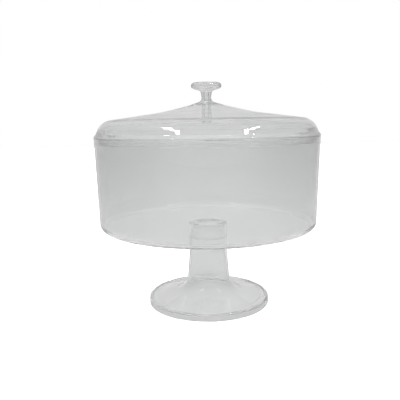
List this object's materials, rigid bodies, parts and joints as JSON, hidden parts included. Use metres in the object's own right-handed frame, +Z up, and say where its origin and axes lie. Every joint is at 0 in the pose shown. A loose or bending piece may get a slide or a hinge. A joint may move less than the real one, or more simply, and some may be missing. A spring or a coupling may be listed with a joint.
{
  "type": "footed cake stand with lid",
  "caption": "Clear plastic cake keeper: deep straight-sided bowl on a pedestal foot, with a low bell-shaped lift-off lid and a mushroom knob.",
  "frame": {"origin": "centre of the foot's underside, on the table", "axes": "+Z up along the stem's axis, -Y towards the front"},
  "size_m": [0.2504, 0.2504, 0.2504],
  "materials": {
    "clear_body": "clear polished",
    "clear_stem": "clear, slightly hazy",
    "clear_knob": "clear polished"
  },
  "bodies": {
    "pedestal": {"pedestal": "clear_stem"},
    "bowl": {"bowl": "clear_body"},
    "lid": {"lid": "clear_body", "knob": "clear_knob"}
  },
  "joints": [
    {"name": "bowl_twist", "type": "hinge", "parent": "pedestal", "child": "bowl", "pos_m": [0, 0, 0.0775], "axis": [0, 0, 1], "range_deg": [0, 30]},
    {"name": "lid_lift", "type": "slide", "parent": "bowl", "child": "lid", "axis": [0, 0, 1], "range_m": [0, 0.12]}
  ]
}
